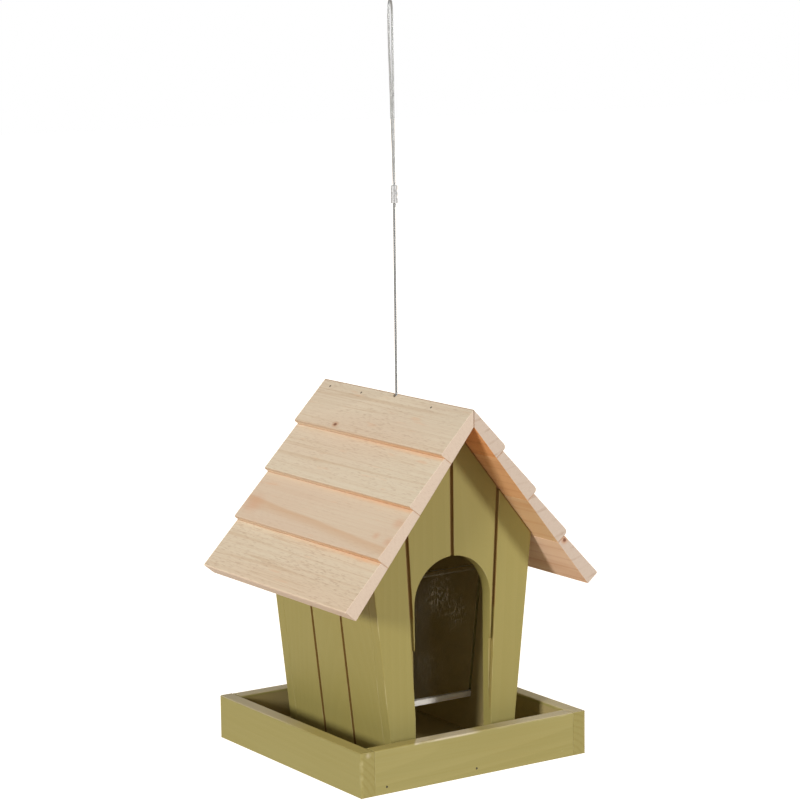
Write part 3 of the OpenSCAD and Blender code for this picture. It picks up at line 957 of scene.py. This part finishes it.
# %% Batten under the pane and beam under the ridge
# Painted light: the batten's pine is near white so that it shows bright in the shade behind the arch.
pale = (colour(244, 241, 235), colour(234, 228, 218), colour(242, 238, 230))
batten_pine = bare_pine("batten_pine", (0, 0, 90), (0.021, 0, 0.033), (0.01, -0.02), seed=61, tones=pale,
                        flecks=0.1, contrast=0.15)
beam_pine = bare_pine("beam_pine", (0, 0, 0), (0, 0, 0.1975), (0.012, -0.015), seed=62)
bare_boards = (
    ("pane_rest", "pane_batten", batten_pine),
    ("hanger_beam", "ridge_beam", beam_pine),
)
for node, name, finish in bare_boards:
    board = copy_of(node, name)
    board.data.materials.append(finish)
    round_edges(board, 0.0003, segments=2, mark=False)
    settle(board, "house", "bare_pine", node)

# %% [markdown]
# Brads are thin headed nails. Nine of them hold the rails and the ridge, all alike, so one tree puts
# a nail at every point it is given and turns it to the way that the hammer drove it.

# %% Nails from one tree
def dull_metal(name, base, roughness, metallic=1.0, painted=None):
    """Plain metal with a little tarnish, and olive paint where painted is 1."""
    material, shader = start_material(name, Metallic=metallic)
    tree = material.node_tree
    place = read(tree, "Object")
    stain = place.noise(700, 700, 700, seed=71)
    dark = tuple(value * 0.55 for value in base[:3]) + (1,)
    metal = stain.rise(0.35, 0.7).toward(base, dark)
    if painted:
        metal = painted(*place.parts()).toward(metal, tray_olive)
    feed(shader.inputs["Base Color"], metal)
    feed(shader.inputs["Roughness"], roughness + stain * 0.2)
    return material


def brad_tree():
    """A nail at each point, with its head flush and its shank along the attribute way."""
    tree, size = start_shape("Brads", Diameter=0.0015, Length=0.018, Dome=0.00012, Sides=16, Material="")
    start = size["Geometry"]
    radius = size["Diameter"] / 2
    shank = {"Vertices": size["Sides"], "Radius Top": radius * 0.8, "Radius Bottom": radius * 0.35,
             "Depth": size["Length"]}
    shank = start.node("GeometryNodeMeshCone", {}, shank)
    drop = start.node("ShaderNodeCombineXYZ", {}, {2: size["Length"] * -1})
    shank = start.node("GeometryNodeTransform", {}, {"Geometry": shank, "Translation": drop})
    head = {"Vertices": size["Sides"], "Radius Top": radius * 0.8, "Radius Bottom": radius,
            "Depth": size["Dome"]}
    head = start.node("GeometryNodeMeshCone", {}, head)
    brad = start.node("GeometryNodeJoinGeometry", {}, {0: shank})
    feed(brad.socket.node.inputs[0], head)
    way = start.node("GeometryNodeInputNamedAttribute", {"data_type": "FLOAT_VECTOR"}, {"Name": "way"})
    back = way.node("ShaderNodeVectorMath", {"operation": "SCALE"}, {0: way, "Scale": -1.0})
    turn = start.node("FunctionNodeAlignRotationToVector", {"axis": "Z"}, {"Vector": back})
    nails = {"Points": start, "Instance": brad, "Rotation": turn}
    end_shape(start.node("GeometryNodeInstanceOnPoints", {}, nails), size["Material"])
    return tree


def drive_brads(tree, name, heads, ways, finish):
    """Nails with their heads at these points, all driven one way for each group of points."""
    mesh = bpy.data.meshes.new(name)
    mesh.from_pydata([point for group in heads for point in group], [], [])
    way = mesh.attributes.new("way", "FLOAT_VECTOR", "POINT")
    numbers = [value for group, one in zip(heads, ways) for point in group for value in one]
    way.data.foreach_set("vector", numbers)
    return make_real(run_shape(tree, name, mesh, Material=finish))


brads = brad_tree()
dark_steel = dull_metal("brad_steel", colour(66, 58, 38), 0.55, 0.3,
                        lambda x, y, z: x.rise(0.05, 0.055) * y.rise(-0.05, -0.055))
brad_in = rail_half - 0.0185
rail_heads = [[(x, y, floor_top / 2) for x in (-brad_in, 0, brad_in)] for y in (-rail_half, rail_half)]
rail_nails = drive_brads(brads, "rail_nails", rail_heads, [(0, 1, 0), (0, -1, 0)], dark_steel)
settle(rail_nails, "house", "brad_steel", "rail_brads")

mitre = (butt_thickness - (slope_length - 3 * course_width) * taper) / (1 + taper * math.tan(roof_pitch))
ridge_top = roof_peak + mitre / math.cos(roof_pitch)
ridge_in = 0.0032
head_z = ridge_top - ridge_in * math.tan(roof_pitch - math.atan(taper))
ridge_heads = [[(-ridge_in, y, head_z) for y in (-0.0435, 0.036, 0.0735)]]
ridge_nails = drive_brads(brads, "ridge_nails", ridge_heads, [(1, 0, -1)], dark_steel)
settle(ridge_nails, "roof", "brad_steel", "ridge_brads")

# %% [markdown]
# The sleeve that closes the loop and the stop under the beam are soft aluminium tubes, squeezed by a
# crimping tool. Their shapes come from the part. Smooth shading up to 30 degrees keeps the dents'
# rims sharp while the tube reads as round.

# %% Sleeve, stop and washer
bright_aluminium = dull_metal("sleeve_aluminium", colour(186, 187, 188), 0.22)
washer_steel = dull_metal("washer_steel", colour(140, 138, 132), 0.35)
small_parts = (
    ("loop_sleeve", "crimp_sleeve", bright_aluminium, "sleeve_aluminium"),
    ("wire_stop", "crimp_stop", bright_aluminium, "sleeve_aluminium"),
    ("beam_washer", "steel_washer", washer_steel, "brad_steel"),
)
for node, name, finish, slot in small_parts:
    part = copy_of(node, name, flat_angle=0.5)
    part.data.materials.append(finish)
    part.data.shade_smooth()
    part.data.set_sharp_from_angle(angle=math.radians(30))
    settle(part, "house", slot, node)

# %% [markdown]
# A hanging thing has no floor under it in the picture, so the floor lies well below, where its
# shadows fall outside the photograph's frame. The floor and the world are white only to camera,
# glossy and transmission rays. The light on the object comes from two soft lamps and a low fill.

# %% White background
def seen_directly(tree):
    """1 for a ray from the camera, a mirror or glass, and 0 for the rays that light the object."""
    rays = [f"Is {kind} Ray" for kind in ("Camera", "Glossy", "Transmission")]
    camera_ray, glossy_ray, passing_ray = [add(tree, "ShaderNodeLightPath", {}, {}, ray) for ray in rays]
    return camera_ray.maths("MAXIMUM", glossy_ray).maths("MAXIMUM", passing_ray)


fill_level = 0.2
world = bpy.data.worlds.new("studio")
bpy.context.scene.world = world
world.use_nodes = True
sky = world.node_tree
background = sky.nodes["Background"]
seen = seen_directly(sky)
feed(background.inputs["Color"], seen.toward(colour(255, 250, 244), (1, 1, 1, 1)))
feed(background.inputs["Strength"], seen * (1 - fill_level) + fill_level)

# %% Floor that keeps the shadow
floor_z = -0.25
floor_half = 12.0
ground = bpy.data.meshes.new("ground")
corners = [(x, y, floor_z) for x, y in ((-1, -1), (1, -1), (1, 1), (-1, 1))]
ground.from_pydata([(x * floor_half, y * floor_half, z) for x, y, z in corners], [], [(0, 1, 2, 3)])
ground_finish, ground_shader = start_material("pale_floor", Roughness=0.9, Specular_IOR_Level=0.0)
ground_shader.inputs["Base Color"].default_value = (0.95, 0.82, 0.68, 1)
ground_shader.inputs["Emission Color"].default_value = (1, 1, 1, 1)
ground_lift = 0.84
feed(ground_shader.inputs["Emission Strength"], seen_directly(ground_finish.node_tree) * ground_lift)
ground.materials.append(ground_finish)
new_piece("ground", ground)

# %% Two soft lamps
def soft_lamp(name, azimuth, elevation, level):
    """A distant soft lamp. Azimuth is from the front, to the right, and level 1 lights white to white."""
    data = bpy.data.lights.new(name, "SUN")
    data.energy = level * math.pi
    data.angle = math.radians(12)
    data.color = (1.0, 0.99, 0.97)
    lamp = bpy.data.objects.new(name, data)
    side, up = math.radians(azimuth), math.radians(elevation)
    to_lamp = Vector((math.sin(side) * math.cos(up), -math.cos(side) * math.cos(up), math.sin(up)))
    lamp.rotation_euler = to_lamp.to_track_quat("Z", "Y").to_euler()
    bpy.context.scene.collection.objects.link(lamp)


soft_lamp("right_lamp", 27.5, 15.5, 0.6)
soft_lamp("left_lamp", -71.0, 16.6, 0.76)
